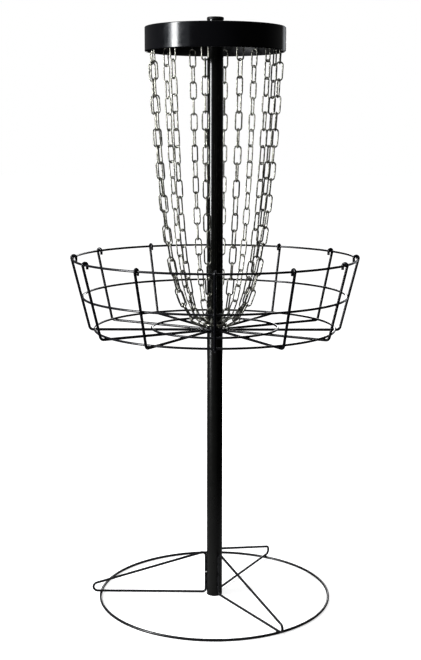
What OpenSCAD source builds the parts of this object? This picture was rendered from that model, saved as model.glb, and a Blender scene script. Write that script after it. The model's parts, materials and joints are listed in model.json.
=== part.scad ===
// Disc golf basket: a pole on a wire base, a wire basket, and twelve hanging chains.
// Millimetres, +Z up. The origin is on the floor, at the centre of the pole's foot.
// Angles run round the pole from the front (-Y) towards +X.

/* [Pole] */
// Outer diameter of both pole tubes
pole_d = 37; // [34:0.5:40]
// Wall thickness of both pole tubes
pole_wall = 1.5; // [1.2:0.1:2]
// Height of the pole cap's top above the floor
total_h = 1370; // [1300:1:1440]
// Length of the joiner inside each tube
joiner_grip = 90; // [60:5:120]

/* [Base] */
// Radius of the base ring, to the middle of its wire
base_r = 276.8; // [260:0.1:280]
// Diameter of the base ring's wire
base_wire = 6; // [5:0.5:8]
// Direction of the first leg
leg_first = 31; // [0:1:119]
// Diameter of the legs' wire
leg_wire = 5.5; // [5:0.5:6]
// Radius that the legs reach, to the middle of the wire
leg_reach = 295.3; // [292:0.1:300]
// Height of the legs' top bend on the pole
leg_top = 108; // [90:1:140]

/* [Basket] */
// Radius of the rim ring, to the middle of its wire
rim_r = 330; // [320:0.5:345]
// Height of the rim ring
rim_z = 824.7; // [800:0.1:850]
// Height of the middle ring
middle_z = 736.7; // [720:0.1:760]
// Height of the spokes that make the basket's floor
floor_z = 655; // [640:1:670]
// Lean of the basket's wall from upright
wall_lean = 13.8; // [10:0.1:18]
// Radius of the outer ring on the floor
bottom_r = 281.7; // [278:0.1:283]
// Radius of the inner ring on the floor
floor_r = 148; // [120:1:180]
// Diameter of the four rings' wire
ring_wire = 5; // [4:0.5:5.5]
// Diameter of the ribs' wire
rib_wire = 6; // [5:0.5:6]
// How far the inner end of a rib's hook hangs below the hook's top
hook_drop = 17.5; // [14:0.5:30]

/* [Head] */
// Radius of the chain band, to its outer face
band_r = 160; // [156:0.5:170]
// Height of the chain band's lower edge
band_z = 1293.4; // [1270:0.1:1300]
// Height of the band itself
band_h = 54; // [40:1:56]
// Thickness of the band's sheet
band_t = 1.2; // [1:0.1:2]
// Radius of the hanger ring, to the middle of its wire
hanger_r = 149; // [146:0.5:150]
// Height of the hanger ring
hanger_z = 1328; // [1325:0.5:1330]
// Diameter of the hanger ring's wire
hanger_wire = 5; // [4:0.5:5]

/* [Chains] */
// Direction of the first chain
chain_first = 21.4; // [16:0.1:24]
// Inner length of a link
link_pitch = 37.3; // [37.1:0.1:37.4]
// Outer width of a link
link_width = 18; // [16.5:0.5:18.5]
// Diameter of the links' wire
link_wire = 3.4; // [3:0.1:3.5]
// Height of the hooks' lowest point, to the middle of the wire
hook_z = 1303.4; // [1301:0.1:1305]
// Radius of the loose ring at the chains' lower ends, to the middle of its wire
chain_ring_r = 25.8; // [25.6:0.1:26.4]
// Height of the loose ring
chain_ring_z = 668.5; // [668.5:0.1:672]
// Diameter of the loose ring's wire
chain_ring_wire = 5; // [4:0.5:5]

/* [Hidden] */
$fn = 64;
pole_r = pole_d / 2;
bore_r = pole_r - pole_wall;
leg_count = 3;
rib_count = 12;
arm_count = 6;
chain_count = 12;
link_count = 18;
weld = 0.3;        // how deep welded wires sink into each other
running = 0.05;    // clearance of the joiner in the tubes and in the hub
face_gap = 0.1;    // gap between the hub's faces and the tube ends
loose = 0.3;       // clearance where a chain hangs on a hook or a ring
slack = 0.3;       // clearance between two links

hub_r = 30;
hub_t = 8;
hub_bottom = floor_z - hub_t / 2;
hub_top = floor_z + hub_t / 2;
plug_flange = 2;
plug_depth = 16;
joiner_wall = 2;
rivet_r = 2;
rivet_head_r = 4;
rivet_head_t = 1.2;
rivet_up = 32;     // height of the rivet above the hub
cap_lip = 0.7;     // how far the cap stands proud of the pole
cap_skirt = 6;
cap_round = 2.5;
cap_depth = 18;

bead_proud = 0.06; // how far a bead in a bent wire stands proud of it
bead_gap = 0.15;   // gap inside such a bead

// Heights of wires that lie on other wires
floor_ring_z = floor_z + rib_wire / 2 + ring_wire / 2 - weld;
arm_wire = 6;
arm_z = hanger_z + hanger_wire / 2 + arm_wire / 2 - weld;
arm_lead = 15;     // angle from a chain to the next arm

// Legs, drawn in the plane of radius and height. The lower wire climbs from the pole
// to pass over the base ring, and the tip's circle touches the lower and the upper wire.
leg_inner = pole_r + leg_wire / 2 - weld;
leg_low = 5;
leg_cross = base_wire + leg_wire / 2 - weld;
leg_tip_bend = 10.2;
leg_corner_bend = 8;
leg_ends_gap = 2;  // between the two ends of a leg's wire, on the pole
leg_rise = atan2(leg_cross - leg_low, base_r - leg_inner);
leg_tip_low = leg_low + tan(leg_rise) * (leg_reach - leg_inner);
leg_tip_r = leg_reach - leg_tip_bend;
leg_tip_z = leg_tip_low + leg_tip_bend * tan(45 - leg_rise / 2);
leg_tip_to_top = [leg_tip_r - leg_inner, leg_top - leg_tip_z];
leg_slope = atan2(leg_tip_to_top.y, leg_tip_to_top.x) - asin(leg_tip_bend / norm(leg_tip_to_top));
leg_tip_top = leg_tip_z + leg_tip_bend * tan(45 - leg_slope / 2);

// Ribs, drawn in the plane of radius and height
rib_offset = (rib_wire + ring_wire) / 2 - weld;
rib_hook_bend = 5.5;
rib_foot_bend = 9;
rib_top = rim_z + rib_offset;
rib_end = rib_top + rib_wire / 2 - hook_drop;
function ring_radius(z) = rim_r - (rim_z - z) * tan(wall_lean);
function rib_radius(z) = ring_radius(z) + rib_offset / cos(wall_lean);
rib_hook_outer = rib_radius(rib_top);
rib_hook_inner = rib_hook_outer - rib_hook_bend * (1 + tan(45 + wall_lean / 2));

// Chain hooks: two loops on one upright line, joined by a crossing shank
hook_wire = 3.2;
hook_bend = 4.2;
hook_low = hook_z + hook_bend;
hook_high = hanger_z + hanger_wire / 2 + hook_wire / 2 + running - hook_bend;
hook_cross = asin(2 * hook_bend / (hook_high - hook_low));
hook_shank = 2 * hook_bend / tan(hook_cross);
hook_high_sweep = 205;
hook_low_sweep = 190;

// A hanging chain: the slope of each link is larger than the last by a constant step,
// so that link i rises at atan(first + step * i). Both numbers are found by halving.
end_low = chain_ring_wire / 2 + loose;
end_high = hook_wire / 2 + loose;
span_r = hanger_r - chain_ring_r;
span_z = hook_z - chain_ring_z;
function link_reach(i) =
    link_pitch - (i == 0 ? end_low : 0) - (i == link_count - 1 ? end_high : 0);
function sum(list, i = 0) = i < len(list) ? list[i] + sum(list, i + 1) : 0;
function run(first, step) =
    sum([for (i = [0:link_count - 1]) link_reach(i) * cos(atan(first + step * i))]);
function rise(first, step) =
    sum([for (i = [0:link_count - 1]) link_reach(i) * sin(atan(first + step * i))]);
function find_first(step, low = -2, high = 20, tries = 34) =
    tries == 0 ? (low + high) / 2
    : run((low + high) / 2, step) > span_r
        ? find_first(step, (low + high) / 2, high, tries - 1)
        : find_first(step, low, (low + high) / 2, tries - 1);
function find_step(low = 0.2, high = 3, tries = 34) =
    let (step = (low + high) / 2)
    tries == 0 ? step
    : rise(find_first(step), step) > span_z
        ? find_step(step, high, tries - 1)
        : find_step(low, step, tries - 1);
slope_step = find_step();
slope_first = find_first(slope_step);
function link_angle(i) = atan(slope_first + slope_step * i);
function link_start(i) =
    i == 0 ? [chain_ring_r, chain_ring_z] - end_low * along(link_angle(0))
    : link_start(i - 1) + link_pitch * along(link_angle(i - 1));
function along(angle) = [cos(angle), sin(angle)];
roll_sway = 14;    // how far links roll away from square to each other
roll_wave = 47;    // how fast that roll changes from link to link
function link_roll(chain, i) =
    i < 2 || i == link_count - 1 ? 90 * (link_count - 1 - i)
    : 90 * (link_count - 1 - i) + roll_sway * sin(roll_wave * i + 101 * chain);

// Turns a shape drawn along +X to an angle round the pole
module around(angle) {
    rotate([0, 0, angle - 90])
        children();
}

// Stands a shape drawn in XY upright, so that Y becomes the height
module upright() {
    rotate([90, 0, 0])
        children();
}

module wire_ring(radius, wire, z) {
    translate([0, 0, z])
        rotate_extrude()
            translate([radius, 0])
                circle(d = wire);
}

module tube(outer_r, inner_r, z_low, z_high) {
    translate([0, 0, z_low])
        difference() {
            cylinder(h = z_high - z_low, r = outer_r);
            translate([0, 0, -1])
                cylinder(h = z_high - z_low + 2, r = inner_r);
        }
}

// A straight piece of wire along +X, from the origin
module rod(length, wire) {
    rotate([0, 90, 0])
        cylinder(h = length, d = wire);
}

// A bend in XY that starts at the origin, heading along +X. A positive turn goes left.
module bend(radius, turn, wire) {
    side = sign(turn);
    translate([0, side * radius, 0])
        rotate([0, 0, -90 * side])
            rotate_extrude(angle = turn)
                translate([radius, 0])
                    circle(d = wire);
}

// Moves what follows to the end of such a bend
module after_bend(radius, turn) {
    side = sign(turn);
    translate([0, side * radius, 0])
        rotate([0, 0, turn])
            translate([0, -side * radius, 0])
                children();
}

// A bead a hair thicker than the wire, which closes the short gap between a feed and a bend
module bead(wire) {
    rotate([0, 90, 0])
        sphere(d = wire + 2 * bead_proud);
}

// A wire fed along +X and bent on the way: each step is [feed, bend radius, turn]
module bent_wire(steps, wire, i = 0) {
    feed = steps[i][0];
    last = i == len(steps) - 1;
    trim_start = i == 0 ? 0 : bead_gap;
    trim_end = last ? 0 : bead_gap;
    if (feed > 0)
        translate([trim_start, 0, 0])
            rod(feed - trim_start - trim_end, wire);
    if (!last)
        translate([feed, 0, 0]) {
            if (feed > 0)
                bead(wire);
            bend(steps[i][1], steps[i][2], wire);
            after_bend(steps[i][1], steps[i][2]) {
                bead(wire);
                bent_wire(steps, wire, i + 1);
            }
        }
}

// The steps that bend a wire through a list of corners, each with its own bend radius
function turn_at(points, i) =
    let (before = points[i] - points[i - 1])
    let (after = points[i + 1] - points[i])
    atan2(before.x * after.y - before.y * after.x, before * after);
function cut_at(points, bends, i) =
    i == 0 || i == len(points) - 1 ? 0 : bends[i] * tan(abs(turn_at(points, i)) / 2);
function feed_from(points, bends, i) =
    let (feed = norm(points[i + 1] - points[i]) - cut_at(points, bends, i)
        - cut_at(points, bends, i + 1))
    feed < 0.001 ? 0 : feed;
function wire_steps(points, bends) = [
    for (i = [0:len(points) - 2])
        [feed_from(points, bends, i), bends[i + 1],
            i < len(points) - 2 ? turn_at(points, i + 1) : 0]
];

// A wire in XY through a list of corners
module wire_through(points, bends, wire) {
    way = points[1] - points[0];
    translate([points[0].x, points[0].y, 0])
        rotate([0, 0, atan2(way.y, way.x)])
            bent_wire(wire_steps(points, bends), wire);
}

// ---- Base and lower pole ----

module base_ring() {
    color([0.08, 0.08, 0.09])
        wire_ring(base_r, base_wire, base_wire / 2);
}

module leg(number) {
    middle = (leg_low + leg_top) / 2;
    points = [[leg_inner, middle - leg_ends_gap / 2], [leg_inner, leg_low],
        [leg_reach, leg_tip_low], [leg_reach, leg_tip_top], [leg_inner, leg_top],
        [leg_inner, middle + leg_ends_gap / 2]];
    bends = [0, leg_corner_bend, leg_tip_bend, leg_tip_bend, leg_corner_bend, 0];
    color([0.08, 0.08, 0.09])
        around(leg_first + (number - 1) * 360 / leg_count)
            upright()
                wire_through(points, bends, leg_wire);
}

module lower_pole() {
    color([0.06, 0.06, 0.06])
        tube(pole_r, bore_r, plug_flange, hub_bottom - face_gap);
}

module foot_plug() {
    color([0.05, 0.05, 0.05]) {
        cylinder(h = plug_flange, r = pole_r);
        cylinder(h = plug_depth, r = bore_r - running);
    }
}

// ---- Basket ----

module basket_hub() {
    color([0.07, 0.07, 0.07])
        tube(hub_r, bore_r, hub_bottom, hub_top);
}

module rib(number) {
    points = [[hub_r - 1, floor_z], [rib_radius(floor_z), floor_z],
        [rib_hook_outer, rib_top], [rib_hook_inner, rib_top], [rib_hook_inner, rib_end]];
    bends = [0, rib_foot_bend, rib_hook_bend, rib_hook_bend, 0];
    color([0.07, 0.07, 0.08])
        around((number - 1) * 360 / rib_count)
            upright()
                wire_through(points, bends, rib_wire);
}

module rim_ring() {
    color([0.07, 0.07, 0.08])
        wire_ring(rim_r, ring_wire, rim_z);
}

module middle_ring() {
    color([0.07, 0.07, 0.08])
        wire_ring(ring_radius(middle_z), ring_wire, middle_z);
}

module bottom_ring() {
    color([0.07, 0.07, 0.08])
        wire_ring(bottom_r, ring_wire, floor_ring_z);
}

module floor_ring() {
    color([0.07, 0.07, 0.08])
        wire_ring(floor_r, ring_wire, floor_ring_z);
}

// ---- Head: upper pole, band and what the chains hang on ----

module upper_pole() {
    color([0.05, 0.05, 0.05])
        difference() {
            tube(pole_r, bore_r, hub_top + face_gap, total_h - cap_skirt);
            rivet_shank(rivet_r);
        }
}

module pole_joiner() {
    color([0.3, 0.3, 0.32])
        difference() {
            tube(bore_r - running, bore_r - joiner_wall,
                hub_bottom - joiner_grip, hub_top + joiner_grip);
            rivet_shank(rivet_r);
        }
}

// The rivet's shank, on the back of the pole
module rivet_shank(radius) {
    around(180)
        translate([bore_r - 2 * joiner_wall, 0, hub_top + rivet_up])
            rotate([0, 90, 0])
                cylinder(h = pole_r + rivet_head_t / 2 - bore_r + 2 * joiner_wall, r = radius);
}

module joiner_rivet() {
    color([0.3, 0.3, 0.3]) {
        rivet_shank(rivet_r - running);
        around(180)
            translate([pole_r, 0, hub_top + rivet_up])
                rotate([0, 90, 0])
                    cylinder(h = rivet_head_t, r1 = rivet_head_r, r2 = rivet_r);
    }
}

module pole_cap() {
    cap_r = pole_r + cap_lip;
    color([0.05, 0.05, 0.05]) {
        translate([0, 0, total_h - cap_skirt])
            rotate_extrude() {
                square([cap_r, cap_skirt - cap_round]);
                square([cap_r - cap_round, cap_skirt]);
                translate([cap_r - cap_round, cap_skirt - cap_round])
                    intersection() {
                        circle(r = cap_round);
                        square(cap_round);
                    }
            }
        translate([0, 0, total_h - cap_depth])
            cylinder(h = cap_depth - cap_skirt, r = bore_r - running);
    }
}

module head_hub() {
    color([0.07, 0.07, 0.07])
        tube(hub_r, pole_r + running, arm_z - hub_t / 2, arm_z + hub_t / 2);
}

module band_arm(number) {
    color([0.07, 0.07, 0.08])
        around(chain_first + arm_lead + (number - 1) * 360 / arm_count)
            upright()
                translate([hub_r - weld, arm_z, 0])
                    rod(band_r - band_t - hub_r + 2 * weld, arm_wire);
}

module chain_band() {
    color([0.06, 0.06, 0.07])
        tube(band_r, band_r - band_t, band_z, band_z + band_h);
}

module hanger_ring() {
    color([0.12, 0.12, 0.13])
        wire_ring(hanger_r, hanger_wire, hanger_z);
}

// From the upper loop's free end over the hanger ring, then down across to the lower loop
module chain_hook() {
    free_end = hook_bend * along(hook_cross + 180 - hook_high_sweep);
    translate([hanger_r + free_end.x, hook_high + free_end.y, 0])
        rotate([0, 0, hook_cross + 270 - hook_high_sweep])
            bent_wire([[0, hook_bend, hook_high_sweep], [hook_shank, hook_bend, -hook_low_sweep],
                [0, 0, 0]], hook_wire);
}

module chain_hooks() {
    color([0.15, 0.15, 0.16])
        for (i = [0:chain_count - 1])
            around(chain_first + i * 360 / chain_count)
                upright()
                    chain_hook();
}

module chain_ring() {
    color([0.55, 0.55, 0.52])
        wire_ring(chain_ring_r, chain_ring_wire, chain_ring_z);
}

// ---- Chains ----

// A link in XY that lies along +X, with its first inner end at the origin
module link() {
    bend_r = (link_width - link_wire) / 2;
    straight = link_pitch + 2 * slack + link_wire - 2 * bend_r;
    translate([bend_r - slack - link_wire / 2, 0, 0])
        for (end = [0, 1])
            translate([end * straight, 0, 0])
                rotate([0, 0, 180 * end])
                    translate([0, -bend_r, 0]) {
                        rod(straight, link_wire);
                        rotate([0, 0, 180])
                            bend(bend_r, -180, link_wire);
                    }
}

module chain(number) {
    color([0.5, 0.5, 0.46])
        around(chain_first + (number - 1) * 360 / chain_count)
            upright()
                for (i = [0:link_count - 1])
                    translate([link_start(i).x, link_start(i).y, 0])
                        rotate([0, 0, link_angle(i)])
                            rotate([link_roll(number, i) + 90, 0, 0])
                                link();
}

base_ring();
leg(1);  // leg_1
leg(2);  // leg_2
leg(3);  // leg_3
lower_pole();
foot_plug();
basket_hub();
rib(1);  // rib_01
rib(2);  // rib_02
rib(3);  // rib_03
rib(4);  // rib_04
rib(5);  // rib_05
rib(6);  // rib_06
rib(7);  // rib_07
rib(8);  // rib_08
rib(9);  // rib_09
rib(10);  // rib_10
rib(11);  // rib_11
rib(12);  // rib_12
rim_ring();
middle_ring();
bottom_ring();
floor_ring();
upper_pole();
pole_joiner();
joiner_rivet();
pole_cap();
head_hub();
band_arm(1);  // band_arm_1
band_arm(2);  // band_arm_2
band_arm(3);  // band_arm_3
band_arm(4);  // band_arm_4
band_arm(5);  // band_arm_5
band_arm(6);  // band_arm_6
chain_band();
hanger_ring();
chain_hooks();
chain_ring();
chain(1);  // chain_01
chain(2);  // chain_02
chain(3);  // chain_03
chain(4);  // chain_04
chain(5);  // chain_05
chain(6);  // chain_06
chain(7);  // chain_07
chain(8);  // chain_08
chain(9);  // chain_09
chain(10);  // chain_10
chain(11);  // chain_11
chain(12);  // chain_12
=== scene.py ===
"""The looks of the disc golf basket: welds, seams, finer chain links, coatings, light and camera."""
import json
import math
import random

import bmesh
import bpy
import numpy as np
from mathutils import Matrix, Vector


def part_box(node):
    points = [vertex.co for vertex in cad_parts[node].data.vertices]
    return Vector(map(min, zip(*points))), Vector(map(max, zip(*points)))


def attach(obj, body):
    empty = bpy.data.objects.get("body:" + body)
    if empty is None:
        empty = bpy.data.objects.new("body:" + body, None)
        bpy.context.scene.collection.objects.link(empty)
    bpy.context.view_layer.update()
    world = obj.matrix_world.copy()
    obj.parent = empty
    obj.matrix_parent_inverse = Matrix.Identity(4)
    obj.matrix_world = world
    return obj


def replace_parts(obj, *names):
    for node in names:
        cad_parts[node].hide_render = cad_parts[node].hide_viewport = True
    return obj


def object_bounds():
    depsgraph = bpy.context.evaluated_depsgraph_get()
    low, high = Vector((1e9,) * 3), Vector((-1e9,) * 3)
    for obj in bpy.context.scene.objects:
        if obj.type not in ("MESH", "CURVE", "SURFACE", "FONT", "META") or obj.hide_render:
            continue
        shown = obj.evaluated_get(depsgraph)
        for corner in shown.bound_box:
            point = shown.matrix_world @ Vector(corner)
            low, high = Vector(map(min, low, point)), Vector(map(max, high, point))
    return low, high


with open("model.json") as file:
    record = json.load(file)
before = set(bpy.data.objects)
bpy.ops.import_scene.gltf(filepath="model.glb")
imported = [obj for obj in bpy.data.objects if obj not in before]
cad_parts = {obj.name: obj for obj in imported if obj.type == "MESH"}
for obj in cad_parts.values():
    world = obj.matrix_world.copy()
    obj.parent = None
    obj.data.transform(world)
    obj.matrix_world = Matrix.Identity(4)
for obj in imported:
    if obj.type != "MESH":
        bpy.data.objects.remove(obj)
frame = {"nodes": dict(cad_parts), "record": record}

cad_low, cad_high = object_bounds()
random.seed(12)

NODES = frame["nodes"]
RIBS = sorted(n for n in NODES if n.startswith("rib_"))
LEGS = sorted(n for n in NODES if n.startswith("leg_"))
ARMS = sorted(n for n in NODES if n.startswith("band_arm_"))
CHAINS = sorted(n for n in NODES if n.startswith("chain_") and n[6:].isdigit())
BASKET_RINGS = ["rim_ring", "middle_ring", "bottom_ring", "floor_ring"]


# ---- Sizes read from the frame ----

class Ring:
    """A wire ring round the pole: its radius and height to the middle of the wire."""

    def __init__(self, node):
        low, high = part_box(node)
        self.wire = high.z - low.z
        self.radius = high.x - self.wire / 2
        self.z = (low.z + high.z) / 2


def heading(node):
    """The direction of a node round the pole, as an angle from +X."""
    faces = NODES[node].data.polygons
    middle = sum((face.center * face.area for face in faces), Vector())
    return math.atan2(middle.y, middle.x)


def polar(angle, radius, z):
    return Vector((radius * math.cos(angle), radius * math.sin(angle), z))


# ---- Materials ----

class Nodes:
    """A short way to write a node material."""

    def __init__(self, name):
        self.material = bpy.data.materials.new(name)
        self.material.use_nodes = True
        self.tree = self.material.node_tree
        self.shader = self.tree.nodes["Principled BSDF"]
        self.place = self.add("ShaderNodeTexCoord").outputs["Object"]

    def add(self, kind, inputs=None, **settings):
        node = self.tree.nodes.new(kind)
        for key, value in settings.items():
            setattr(node, key, value)
        for key, value in (inputs or {}).items():
            if isinstance(value, bpy.types.NodeSocket):
                self.tree.links.new(value, node.inputs[key])
            else:
                node.inputs[key].default_value = value
        return node

    def noise(self, scale, detail=3.0, rough=0.55):
        """Noise of a given scale, in features per metre."""
        inputs = {"Vector": self.place, "Scale": scale, "Detail": detail, "Roughness": rough}
        return self.add("ShaderNodeTexNoise", inputs).outputs["Fac"]

    def spread(self, value, low, high, start=0.3, end=0.7):
        """Maps a 0..1 value, where it runs from start to end, to a range."""
        inputs = {"Value": value, "From Min": start, "From Max": end, "To Min": low, "To Max": high}
        return self.add("ShaderNodeMapRange", inputs).outputs["Result"]

    def mix(self, share, first, second):
        """A colour between two others."""
        node = self.add("ShaderNodeMix", {"Factor": share}, data_type="RGBA")
        for socket, colour in ((node.inputs[6], first), (node.inputs[7], second)):
            if isinstance(colour, bpy.types.NodeSocket):
                self.tree.links.new(colour, socket)
            else:
                socket.default_value = (*colour, 1)
        return node.outputs[2]

    def bump(self, height, strength, distance, below=None):
        inputs = {"Height": height, "Strength": strength, "Distance": distance}
        if below is not None:
            inputs["Normal"] = below
        return self.add("ShaderNodeBump", inputs).outputs["Normal"]

    def shade(self, **sockets):
        """Sets or links the shader's sockets. Underscores stand for spaces."""
        for key, value in sockets.items():
            socket = self.shader.inputs[key.replace("_", " ")]
            if isinstance(value, bpy.types.NodeSocket):
                self.tree.links.new(value, socket)
            else:
                socket.default_value = value


def powder_coat(name, colour, gloss, peel=0.25, dust=0.004, clear=0.2):
    """Black powder coat: a slightly uneven gloss over a fine orange peel, with a trace of dust.
    Where a surface is rubbed, the gloss is gone."""
    m = Nodes(name)
    broad, fine, speck = m.noise(9), m.noise(420, 2), m.noise(1600, 1)
    lighter = tuple(c + dust for c in colour)
    base = m.mix(m.spread(broad, 0, 1), colour, lighter)
    base = m.mix(m.spread(speck, 0, 0.3, 0.62, 0.75), base, tuple(c + 3 * dust for c in colour))
    rubbed = m.add("ShaderNodeAttribute", attribute_name="rubbed").outputs["Fac"]
    rough = m.spread(m.noise(60), gloss, gloss + 0.10)
    rough = m.add("ShaderNodeMath", {0: rough, 1: m.spread(rubbed, 0, 0.30, 0, 1)}, operation="ADD")
    m.shade(Base_Color=base, Roughness=rough.outputs[0], Normal=m.bump(fine, peel, 0.0003),
            IOR=1.46, Coat_Weight=clear, Coat_Roughness=gloss * 0.5)
    return m.material


def moulded_plastic(name, colour, gloss):
    """Fine spark-eroded texture of a black moulding."""
    m = Nodes(name)
    grain = m.noise(1500, 2)
    base = m.mix(m.spread(m.noise(30), 0, 1), colour, tuple(1.8 * c for c in colour))
    m.shade(Base_Color=base, Roughness=m.spread(m.noise(90), gloss, gloss + 0.12),
            Normal=m.bump(grain, 0.35, 0.0002), IOR=1.48)
    return m.material


def zinc(name, bright, dull, gloss):
    """Zinc-plated steel wire: patches of bright and dull plate, drawn lines and rubbed ends."""
    m = Nodes(name)
    patches = m.spread(m.noise(140, 4, 0.65), 0, 1, 0.35, 0.68)
    plate = m.mix(patches, bright, dull)
    rubbed = m.add("ShaderNodeAttribute", attribute_name="rubbed").outputs["Fac"]
    plate = m.mix(m.spread(rubbed, 0, 0.7, 0, 1), plate, tuple(min(1, 1.25 * c) for c in bright))
    weld = m.add("ShaderNodeAttribute", attribute_name="weld").outputs["Fac"]
    plate = m.mix(m.spread(weld, 0, 0.65, 0, 1), plate, tuple(0.35 * c for c in dull))
    rough = m.spread(m.noise(210, 3), gloss, gloss + 0.2)
    pits = m.bump(m.noise(1900, 2), 0.25, 0.00015)
    m.shade(Base_Color=plate, Metallic=1.0, Roughness=rough,
            Normal=m.bump(m.noise(500, 3), 0.3, 0.0003, pits))
    return m.material


MATERIALS = {
    "base_wire": powder_coat("base_coat", (0.012, 0.012, 0.014), 0.24),
    "basket_wire": powder_coat("basket_coat", (0.010, 0.010, 0.013), 0.20),
    "lower_tube": powder_coat("lower_tube_coat", (0.008, 0.008, 0.007), 0.26),
    "upper_tube": powder_coat("upper_tube_coat", (0.005, 0.0052, 0.0045), 0.10, peel=0.10, dust=0.002),
    "cap_plastic": moulded_plastic("cap_moulding", (0.012, 0.012, 0.012), 0.38),
    "band_sheet": powder_coat("band_coat", (0.006, 0.006, 0.0075), 0.10, 0.10, 0.002, clear=0),
    "head_wire": powder_coat("head_coat", (0.010, 0.010, 0.013), 0.22),
    "hook_steel": zinc("hook_zinc", (0.20, 0.20, 0.19), (0.07, 0.07, 0.07), 0.32),
    "chain_steel": zinc("chain_zinc", (0.46, 0.452, 0.41), (0.20, 0.197, 0.165), 0.22),
    "joiner_steel": zinc("joiner_plate", (0.60, 0.60, 0.60), (0.40, 0.40, 0.40), 0.30),
}
SLOT_OF = {s["node"]: s["material_slot"] for s in frame["record"]["subparts"]}


def coat(piece, slot):
    """Gives a piece the material of a record slot."""
    piece.data.materials.clear()
    piece.data.materials.append(MATERIALS[slot])


def smooth(piece, angle=40):
    """Shades a piece smooth, apart from edges sharper than an angle."""
    for face in piece.data.polygons:
        face.use_smooth = True
    piece.data.set_sharp_from_angle(angle=math.radians(angle))


# ---- Mesh building ----

class Mesh:
    """Gathers closed shells into one mesh, with the wear that each vertex has."""

    def __init__(self):
        self.points, self.faces, self.rubbed, self.weld = [], [], [], []

    def add(self, points, faces, rubbed=None, weld=None):
        start = len(self.points)
        self.points += [tuple(p) for p in points]
        self.faces += [tuple(start + i for i in face) for face in faces]
        self.rubbed += rubbed or [0.0] * len(points)
        self.weld += weld or [0.0] * len(points)

    def make(self, name, body, slot, sharp=40):
        data = bpy.data.meshes.new(name)
        data.from_pydata(self.points, [], self.faces)
        for key, values in (("rubbed", self.rubbed), ("weld", self.weld)):
            if any(values):
                data.attributes.new(key, "FLOAT", "POINT").data.foreach_set("value", values)
        shells = bmesh.new()
        shells.from_mesh(data)
        bmesh.ops.recalc_face_normals(shells, faces=shells.faces)
        shells.to_mesh(data)
        shells.free()
        piece = bpy.data.objects.new(name, data)
        bpy.context.scene.collection.objects.link(piece)
        smooth(piece, sharp)
        coat(piece, slot)
        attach(piece, body)
        return piece


def sweep(mesh, path, across, radii, sides, rubbed, weld):
    """Sweeps a round section along a closed, flat path. across is the normal of its plane."""
    count = len(path)
    points, faces = [], []
    for i, point in enumerate(path):
        out = (path[(i + 1) % count] - path[i - 1]).normalized().cross(across)
        for s in range(sides):
            turn = 2 * math.pi * s / sides
            points.append(point + radii[i] * (math.cos(turn) * out + math.sin(turn) * across))
    for i in range(count):
        a, b = i * sides, (i + 1) % count * sides
        for s in range(sides):
            t = (s + 1) % sides
            faces.append((a + s, a + t, b + t, b + s))
    mesh.add(points, faces, np.repeat(rubbed, sides).tolist(), np.repeat(weld, sides).tolist())


def lathe(mesh, profile, steps=128):
    """Turns a closed outline of (radius, height) points round the pole. It may touch the axis."""
    points, faces, rows = [], [], []
    for r, z in profile:
        count = 1 if r < 1e-7 else steps
        rows.append([len(points) + i for i in range(count)] * (steps if count == 1 else 1))
        for i in range(count):
            turn = 2 * math.pi * i / steps
            points.append((r * math.cos(turn), r * math.sin(turn), z))
    for j, row in enumerate(rows):
        other = rows[(j + 1) % len(rows)]
        for i in range(steps):
            k = (i + 1) % steps
            face = list(dict.fromkeys((row[i], row[k], other[k], other[i])))
            if len(face) > 2:
                faces.append(face)
    mesh.add(points, faces)


def corner(r, z, bevel, start, turns=4):
    """A rounded corner of an outline, from a start angle through a quarter turn."""
    return [
        (r + bevel * math.cos(math.radians(start + 90 * i / turns)),
         z + bevel * math.sin(math.radians(start + 90 * i / turns)))
        for i in range(turns + 1)
    ]


def bead(mesh, centre, along, across, size):
    """A weld bead: an uneven blob, longer along one way."""
    along = along.normalized()
    up = along.cross(across).normalized()
    side = up.cross(along)
    rings, sides = 7, 12
    points, faces = [], []
    phase = random.uniform(0, 6)
    for i in range(1, rings):
        lift = math.pi * i / rings
        for s in range(sides):
            turn = 2 * math.pi * s / sides
            lump = 1 + 0.10 * math.sin(3 * turn + phase) * math.sin(lift) + random.uniform(-0.03, 0.03)
            spot = (along * (-math.cos(lift) * size[0])
                    + side * (math.sin(lift) * math.cos(turn) * size[1] * lump)
                    + up * (math.sin(lift) * math.sin(turn) * size[2] * lump))
            points.append(centre + spot)
    for i in range(rings - 2):
        for s in range(sides):
            t = (s + 1) % sides
            faces.append((i * sides + s, i * sides + t, (i + 1) * sides + t, (i + 1) * sides + s))
    first, last = len(points), len(points) + 1
    points += [centre - along * size[0], centre + along * size[0]]
    top = (rings - 2) * sides
    for s in range(sides):
        t = (s + 1) % sides
        faces.append((first, t, s))
        faces.append((last, top + s, top + t))
    mesh.add(points, faces)


# ---- Chains ----

LINK_SIDES = 14       # round a link's wire
BEND_STEPS = 12       # round a link's half-round end
WELD_LENGTH = 1.3     # half a butt weld's length, in wire radii
WELD_SWELL = 0.10     # how far it swells, in wire radii
END_WEAR = 0.02       # how much the ends are worn, in wire radii


def solids_of(node):
    """The triangles of each separate solid of a CAD node, from the lowest solid up."""
    shells = bmesh.new()
    shells.from_mesh(NODES[node].data)
    bmesh.ops.remove_doubles(shells, verts=shells.verts, dist=1e-6)
    bmesh.ops.triangulate(shells, faces=shells.faces)
    left, found = set(shells.faces), []
    while left:
        stack, solid = [left.pop()], []
        while stack:
            face = stack.pop()
            solid.append([vert.co[:] for vert in face.verts])
            for edge in face.edges:
                for other in edge.link_faces:
                    if other in left:
                        left.remove(other)
                        stack.append(other)
        found.append(np.array(solid))
    shells.free()
    return sorted(found, key=lambda solid: solid[:, :, 2].mean())


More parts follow.
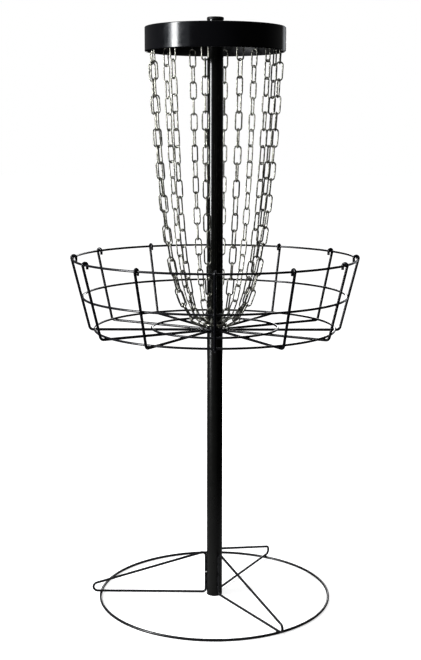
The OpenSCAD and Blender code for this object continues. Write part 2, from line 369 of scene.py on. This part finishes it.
def link_axes(solid):
    """A link's middle, its long, wide and thin directions, and its half size on each."""
    areas = np.linalg.norm(np.cross(solid[:, 1] - solid[:, 0], solid[:, 2] - solid[:, 0]), axis=1)
    centres = solid.mean(1)
    centre = (areas[:, None] * centres).sum(0) / areas.sum()
    parts = np.concatenate([solid - centre, 3 * (centres - centre)[:, None]], axis=1)
    moments = np.einsum("t,tpi,tpj->ij", areas, parts, parts)
    axes = np.linalg.eigh(moments)[1].T[::-1]
    spans = [(solid.reshape(-1, 3) @ axis) for axis in axes]
    middle = sum((s.max() + s.min()) / 2 * axis for s, axis in zip(spans, axes))
    halves = [float(s.max() - s.min()) / 2 for s in spans]
    return Vector(middle), [Vector(axis) for axis in axes], halves


def chain_link(mesh, middle, axes, halves, seam_side):
    """A bent and butt-welded link: straight sides, round ends, and a weld in one side."""
    long, wide, thin = axes
    half_length, half_width, wire_r = halves
    bend_r = half_width - wire_r
    straight = half_length - half_width
    weld_half = WELD_LENGTH * wire_r
    path, radii, rubbed, weld = [], [], [], []

    def place(x, y, radius, worn=0.0, welded=0.0):
        path.append(middle + long * x + wide * y)
        radii.append(radius)
        rubbed.append(worn)
        weld.append(welded)

    for side in (1, -1):
        seam = side == seam_side
        place(-side * straight, side * bend_r, wire_r)
        for stop in (-1, -0.6, -0.2, 0.2, 0.6, 1) if seam else (-0.5, 0.5):
            swell = 1 - stop * stop if seam else 0.0
            place(side * weld_half * stop, side * bend_r, wire_r * (1 + WELD_SWELL * swell), 0, swell)
        place(side * straight, side * bend_r, wire_r)
        for i in range(1, BEND_STEPS):
            turn = math.radians(90 - 180 / BEND_STEPS * i)
            worn = max(0.0, math.cos(turn)) ** 3
            place(side * (straight + bend_r * math.cos(turn)), side * bend_r * math.sin(turn),
                  wire_r * (1 - END_WEAR * worn), worn)
    sweep(mesh, path, thin, radii, LINK_SIDES, rubbed, weld)


def make_chain(node):
    links = [link_axes(solid) for solid in solids_of(node)]
    halves = [max(link[2][i] for link in links) for i in range(3)]
    mesh = Mesh()
    for middle, axes, _ in links:
        chain_link(mesh, middle, axes, halves, random.choice((1, -1)))
    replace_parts(mesh.make(node + "_links", node, "chain_steel", sharp=70), node)


# ---- Tubes, hubs, band and cap ----

RUNNING = 0.00005     # clearance of a bore on its shaft
BAND_SHEET = 0.0012   # thickness of the band's sheet
HEM = 0.0016          # radius of the band's rolled hems


def turned(name, body, slot, node, outline):
    """A turned piece that stands for a CAD node."""
    mesh = Mesh()
    lathe(mesh, outline)
    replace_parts(mesh.make(name, body, slot), node)


def tube_outline(outer, inner, low, high, bevel):
    return (corner(inner + bevel, low + bevel, bevel, 180) + corner(outer - bevel, low + bevel, bevel, 270)
            + corner(outer - bevel, high - bevel, bevel, 0) + corner(inner + bevel, high - bevel, bevel, 90))


def make_band():
    """The band's sheet, with a rolled hem inside each edge. The inner side is duller."""
    low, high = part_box("chain_band")
    outer, inner = high.x, high.x - BAND_SHEET
    hem_low, hem_high = low.z + HEM, high.z - HEM
    inside = 1.3 * HEM    # from a hem's middle to where the plain sheet starts

    def hem_points(z, way):
        turns = [math.radians(a) for a in range(0, 271, 27)]
        points = [(outer - HEM + HEM * math.cos(t), z + way * 0.999 * HEM * math.sin(t)) for t in turns]
        return points if way > 0 else points[::-1]

    outline = ([(outer, hem_low + HEM), (outer, hem_high - HEM)] + hem_points(hem_high, 1)
               + [(inner, hem_high - inside), (inner, hem_low + inside)] + hem_points(hem_low, -1))
    mesh = Mesh()
    lathe(mesh, outline, steps=192)
    mesh.rubbed = [float(math.hypot(x, y) < inner + 0.0002) for x, y, _ in mesh.points]
    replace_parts(mesh.make("band_sheet", "head", "band_sheet"), "chain_band")


def make_tubes():
    """The pole's two tubes, with the burr taken off their cut ends."""
    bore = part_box("pole_joiner")[1].x + RUNNING
    for node, body in (("lower_pole", "stand"), ("upper_pole", "head")):
        low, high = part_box(node)
        turned(node + "_tube", body, SLOT_OF[node], node,
               tube_outline(high.x, bore, low.z, high.z, 0.0003))


def make_cap():
    """The moulded cap: a low crown with a raised ring round a gate mark, and a plug below."""
    low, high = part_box("pole_cap")
    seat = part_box("upper_pole")[1].z
    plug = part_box("pole_joiner")[1].x
    top, edge = high.z, high.x
    outline = ([(0, top - 0.0009), (0.0022, top - 0.0009)]
               + [(0.0026, top - 0.0004), (0.0032, top - 0.0003), (edge - 0.0062, top - 0.0003)]
               + [(edge - 0.0056, top - 0.0001), (edge - 0.0048, top)]
               + corner(edge - 0.0025, top - 0.0025, 0.0025, 0, 8)[::-1]
               + corner(edge - 0.0004, seat + 0.0004, 0.0004, 270)[::-1]
               + [(plug, seat), (plug, low.z + 0.0012), (plug - 0.0008, low.z), (0, low.z)])
    turned("pole_cap_moulding", "head", "cap_plastic", "pole_cap", outline)


def make_plug():
    """The foot plug: a flange that the pole stands on, and a ribbed stem."""
    low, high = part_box("foot_plug")
    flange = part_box("lower_pole")[0].z
    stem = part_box("pole_joiner")[1].x
    outline = [(0, low.z + 0.0006), (0.009, low.z + 0.0006), (0.0095, low.z)]
    outline += corner(high.x - 0.0005, low.z + 0.0005, 0.0005, 270)
    outline += corner(high.x - 0.0002, flange - 0.0002, 0.0002, 0)
    z = flange
    while z < high.z - 0.003:
        outline += [(stem - 0.0005, z), (stem - 0.0005, z + 0.0016), (stem, z + 0.0022)]
        z += 0.0030
    outline += [(stem - 0.0012, high.z), (0, high.z)]
    turned("foot_plug_moulding", "stand", SLOT_OF["foot_plug"], "foot_plug", outline)


def make_hubs():
    """The two hubs, turned from plate with their edges rounded."""
    bore = {"basket_hub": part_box("pole_joiner")[1].x + RUNNING,
            "head_hub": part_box("upper_pole")[1].x + RUNNING}
    for node, body in (("basket_hub", "basket"), ("head_hub", "head")):
        low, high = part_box(node)
        outline = tube_outline(high.x, bore[node], low.z, high.z, 0.0010)
        turned(node + "_plate", body, SLOT_OF[node], node, outline)


# Half sizes of weld beads: along, across, and square to both
RING_BEAD = (0.0024, 0.0016, 0.0019)
BASE_RING_BEAD = (0.0026, 0.0020, 0.0017)
POLE_BEAD = (0.0075, 0.0016, 0.0014)
SPOKE_BEAD = (0.0017, 0.0042, 0.0038)
ARM_BEAD = (0.0017, 0.0040, 0.0038)
BAND_BEAD = (0.0014, 0.0044, 0.0042)


def weld_pair(mesh, centre, along, across, apart, size):
    """The two beads that a welder lays on both sides of a wire."""
    for side in (-1, 1):
        bead(mesh, centre + across * side * apart, along, across, size)


def make_basket_welds():
    mesh = Mesh()
    hub_low, hub_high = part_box("basket_hub")
    for rib in RIBS:
        turn = heading(rib)
        out, round_ = polar(turn, 1, 0), polar(turn + math.pi / 2, 1, 0)
        for name in BASKET_RINGS:
            ring = Ring(name)
            if name in ("rim_ring", "middle_ring"):
                spot = polar(turn, ring.radius + ring.wire * 0.42, ring.z - ring.wire * 0.1)
                along = Vector((0, 0, 1))
            else:
                spot = polar(turn, ring.radius, ring.z - ring.wire * 0.42)
                along = out
            weld_pair(mesh, spot, along, round_, ring.wire * 0.55, RING_BEAD)
        edge = polar(turn, hub_high.x + 0.0002, (hub_low.z + hub_high.z) / 2)
        bead(mesh, edge, out, round_, SPOKE_BEAD)
    mesh.make("basket_welds", "basket", "basket_wire", sharp=80)


def make_head_welds():
    mesh = Mesh()
    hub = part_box("head_hub")[1].x
    ring = Ring("hanger_ring")
    low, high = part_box("band_arm_1")
    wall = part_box("chain_band")[1].x - BAND_SHEET
    arm_z = (low.z + high.z) / 2
    for arm in ARMS:
        turn = heading(arm)
        out, round_ = polar(turn, 1, 0), polar(turn + math.pi / 2, 1, 0)
        bead(mesh, polar(turn, hub + 0.0002, arm_z), out, round_, ARM_BEAD)
        bead(mesh, polar(turn, wall - 0.0006, arm_z), out, round_, BAND_BEAD)
        spot = polar(turn, ring.radius, ring.z + ring.wire * 0.42)
        weld_pair(mesh, spot, out, round_, ring.wire * 0.55, RING_BEAD)
    mesh.make("head_welds", "head", "head_wire", sharp=80)


def make_base_welds():
    """Long beads beside each leg's run on the pole, and short ones where it crosses the ring."""
    mesh = Mesh()
    ring = Ring("base_ring")
    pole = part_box("lower_pole")[1].x
    up = Vector((0, 0, 1))
    for leg in LEGS:
        turn = heading(leg)
        out, round_ = polar(turn, 1, 0), polar(turn + math.pi / 2, 1, 0)
        low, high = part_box(leg)
        for z in (0.15, 0.36, 0.64, 0.85):
            height = low.z + z * (high.z - low.z)
            spot = polar(turn, pole + 0.0008, height)
            weld_pair(mesh, spot, up, round_, 0.0023, POLE_BEAD)
        spot = polar(turn, ring.radius, ring.z + ring.wire * 0.46)
        weld_pair(mesh, spot, out, round_, ring.wire * 0.45, BASE_RING_BEAD)
    mesh.make("base_welds", "stand", "base_wire", sharp=80)


def dress_cad():
    """Materials and smooth shading for the CAD nodes that stay."""
    for name, piece in NODES.items():
        coat(piece, SLOT_OF[name])
        smooth(piece)


# ---- Floor, light and camera ----

def area_light(name, azimuth, elevation, distance, size, power, colour=(1, 1, 1)):
    """A softbox aimed at the object. Azimuth 0 is in front, and grows towards +X."""
    middle = (cad_low + cad_high) / 2
    turn, lift = math.radians(azimuth), math.radians(elevation)
    way = Vector((math.sin(turn) * math.cos(lift), -math.cos(turn) * math.cos(lift), math.sin(lift)))
    light = bpy.data.lights.new(name, "AREA")
    light.shape = "RECTANGLE"
    light.size, light.size_y = size
    light.energy, light.color = power, colour
    lamp = bpy.data.objects.new(name, light)
    lamp.location = middle + way * distance
    lamp.rotation_euler = (-way).to_track_quat("-Z", "Y").to_euler()
    bpy.context.scene.collection.objects.link(lamp)


def make_stage():
    """A white paper floor. It glows faintly, so that it runs into the white background, and
    what it sends back onto the object falls off with the distance from it."""
    bpy.ops.mesh.primitive_plane_add(size=60, location=(0, 0, cad_low.z - 0.0004))
    floor = bpy.context.object
    floor.name = "floor"
    m = Nodes("floor_paper")
    reach = m.add("ShaderNodeVectorMath", {0: m.place}, operation="LENGTH").outputs["Value"]
    tone = m.mix(m.spread(m.noise(3), 0, 1), (0.88, 0.88, 0.88), (0.90, 0.90, 0.90))
    glow = m.spread(reach, 0.72, 1.0, 0.4, 2.2)
    m.shade(Base_Color=tone, Roughness=0.7, Emission_Color=(1, 1, 1, 1), Emission_Strength=glow)
    bounce = m.spread(reach, 0.42, 0.02, 0.2, 0.85)
    dim = m.add("ShaderNodeBsdfDiffuse", {"Color": bounce})
    seen = m.add("ShaderNodeLightPath").outputs["Is Camera Ray"]
    both = m.add("ShaderNodeMixShader", {"Fac": seen, 1: dim.outputs[0], 2: m.shader.outputs[0]})
    out = m.tree.nodes["Material Output"]
    m.tree.links.new(both.outputs[0], out.inputs["Surface"])
    floor.data.materials.append(m.material)


def make_world():
    """White to look at. What the object mirrors is white behind it and dark in front."""
    world = bpy.data.worlds.new("studio")
    bpy.context.scene.world = world
    world.use_nodes = True
    tree = world.node_tree
    tree.nodes.clear()
    way = tree.nodes.new("ShaderNodeTexCoord")
    split = tree.nodes.new("ShaderNodeSeparateXYZ")
    ramp = tree.nodes.new("ShaderNodeMapRange")
    ramp.interpolation_type = "SMOOTHSTEP"
    for key, value in (("From Min", -0.2), ("From Max", 0.9), ("To Min", 0.028), ("To Max", 0.13)):
        ramp.inputs[key].default_value = value
    seen = tree.nodes.new("ShaderNodeBackground")
    seen.inputs["Color"].default_value = (1, 1, 1, 1)
    lit = tree.nodes.new("ShaderNodeBackground")
    lit.inputs["Color"].default_value = (1, 1, 1, 1)
    path = tree.nodes.new("ShaderNodeLightPath")
    both = tree.nodes.new("ShaderNodeMixShader")
    out = tree.nodes.new("ShaderNodeOutputWorld")
    tree.links.new(way.outputs["Generated"], split.inputs["Vector"])
    tree.links.new(split.outputs["Y"], ramp.inputs["Value"])
    tree.links.new(ramp.outputs["Result"], lit.inputs["Strength"])
    tree.links.new(path.outputs["Is Camera Ray"], both.inputs["Fac"])
    tree.links.new(lit.outputs["Background"], both.inputs[1])
    tree.links.new(seen.outputs["Background"], both.inputs[2])
    tree.links.new(both.outputs["Shader"], out.inputs["Surface"])


def make_lights():
    """A tall strip on the left draws the line down pole and band, and wider, bluer ones on the
    same side soften its edges. The strip behind shows the shape in views from the side and back."""
    area_light("overhead", 0, 88, 2.6, (2.4, 2.4), 18)
    area_light("left_strip", -66.5, 16, 2.40, (0.42, 1.7), 58)
    area_light("left_edge", -68, 17, 2.45, (0.80, 1.7), 22, (0.92, 0.96, 1.0))
    for step, width in enumerate((1.15, 1.5, 1.85, 2.2)):
        area_light("left_wrap_" + str(step), -64, 20, 2.70, (width, 1.6), 4 * width, (0.86, 0.93, 1.0))
    area_light("right_fill", 148, 10, 3.0, (0.9, 2.2), 5, (0.92, 0.95, 1.0))
    area_light("back_strip", 176, 12, 3.0, (0.6, 2.2), 24)


def make_camera():
    """The camera stands a little below the band and looks down at the basket."""
    data = bpy.data.cameras.new("camera")
    data.sensor_width = 36
    data.lens = 63.56
    data.shift_x = -0.0066
    data.clip_end = 100
    camera = bpy.data.objects.new("camera", data)
    camera.location = (0, -2.711, 1.105)
    pitch, roll = math.radians(90 - 9.45), math.radians(0.10)
    aim = Matrix.Rotation(pitch, 3, "X") @ Matrix.Rotation(roll, 3, "Z")
    camera.rotation_euler = aim.to_euler()
    bpy.context.scene.collection.objects.link(camera)
    bpy.context.scene.camera = camera


dress_cad()
for chain in CHAINS:
    make_chain(chain)
make_tubes()
make_cap()
make_plug()
make_hubs()
make_band()
make_basket_welds()
make_head_welds()
make_base_welds()
make_stage()
make_world()
make_lights()
make_camera()
bpy.context.scene.view_settings.view_transform = "Standard"
bpy.context.scene.view_settings.gamma = 0.85
